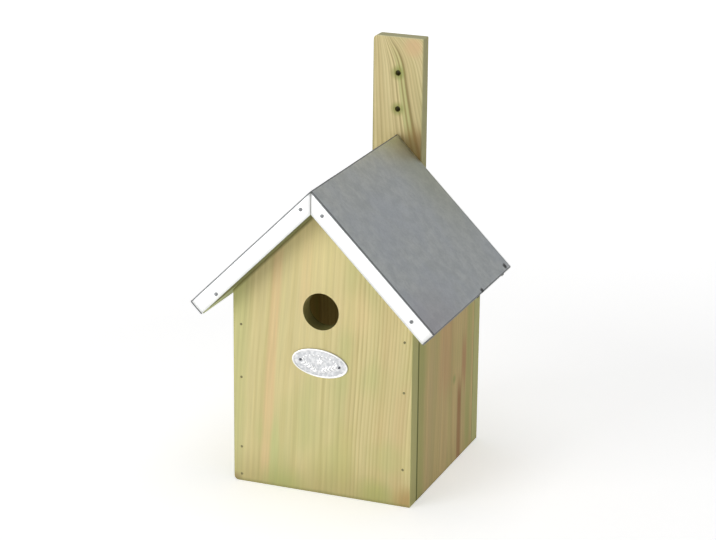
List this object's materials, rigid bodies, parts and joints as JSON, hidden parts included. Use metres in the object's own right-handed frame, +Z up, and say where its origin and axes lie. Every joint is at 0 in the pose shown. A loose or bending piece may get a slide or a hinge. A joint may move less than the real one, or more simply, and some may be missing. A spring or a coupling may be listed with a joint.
{
  "type": "nest box",
  "caption": "Small bird nest box of pine boards with a round entrance hole, a pitched roof covered in folded sheet metal, and a batten at the back to hang it by.",
  "frame": {"origin": "on the ground, at the middle of the overall footprint", "axes": "+Z up, the front wall with the entrance hole faces -Y, +X to the right as seen from the front"},
  "size_m": [0.2156, 0.2076, 0.358],
  "materials": {
    "front_pine": "sawn and planed, pale green from pressure treatment",
    "back_pine": "planed, pale green from pressure treatment",
    "side_pine": "planed, olive with brown heartwood streaks",
    "floor_pine": "planed",
    "roof_pine": "planed",
    "batten_pine": "planed, strong slanting grain",
    "zinc_sheet": "matt, cloudy grey zinc, bright on the folded strips",
    "plaque_metal": "polished, with low relief",
    "pin_steel": "bright",
    "wall_nail_steel": "dull, sunk flush",
    "sheet_nail_steel": "dull zinc plated",
    "screw_steel": "zinc plated"
  },
  "bodies": {
    "root": {"front_wall": "front_pine", "back_wall": "back_pine", "left_wall": "side_pine", "right_wall": "side_pine", "floor_board": "floor_pine", "left_roof_board": "roof_pine", "right_roof_board": "roof_pine", "roof_sheet": "zinc_sheet", "batten": "batten_pine", "plaque": "plaque_metal", "plaque_pin_left": "pin_steel", "plaque_pin_right": "pin_steel", "front_nail_left_1": "wall_nail_steel", "front_nail_left_2": "wall_nail_steel", "front_nail_left_3": "wall_nail_steel", "front_nail_left_4": "wall_nail_steel", "front_nail_right_1": "wall_nail_steel", "front_nail_right_2": "wall_nail_steel", "front_nail_right_3": "wall_nail_steel", "back_nail_left_1": "wall_nail_steel", "back_nail_left_2": "wall_nail_steel", "back_nail_left_3": "wall_nail_steel", "back_nail_right_1": "wall_nail_steel", "back_nail_right_2": "wall_nail_steel", "back_nail_right_3": "wall_nail_steel", "floor_side_nail_1": "wall_nail_steel", "floor_side_nail_2": "wall_nail_steel", "floor_back_nail_1": "wall_nail_steel", "floor_back_nail_2": "wall_nail_steel", "fascia_nail_left_1": "sheet_nail_steel", "fascia_nail_left_2": "sheet_nail_steel", "fascia_nail_right_1": "sheet_nail_steel", "fascia_nail_right_2": "sheet_nail_steel", "eave_nail_left_1": "sheet_nail_steel", "eave_nail_left_2": "sheet_nail_steel", "eave_nail_right_1": "sheet_nail_steel", "eave_nail_right_2": "sheet_nail_steel", "batten_screw_low": "screw_steel", "batten_screw_high": "screw_steel"}
  },
  "joints": []
}
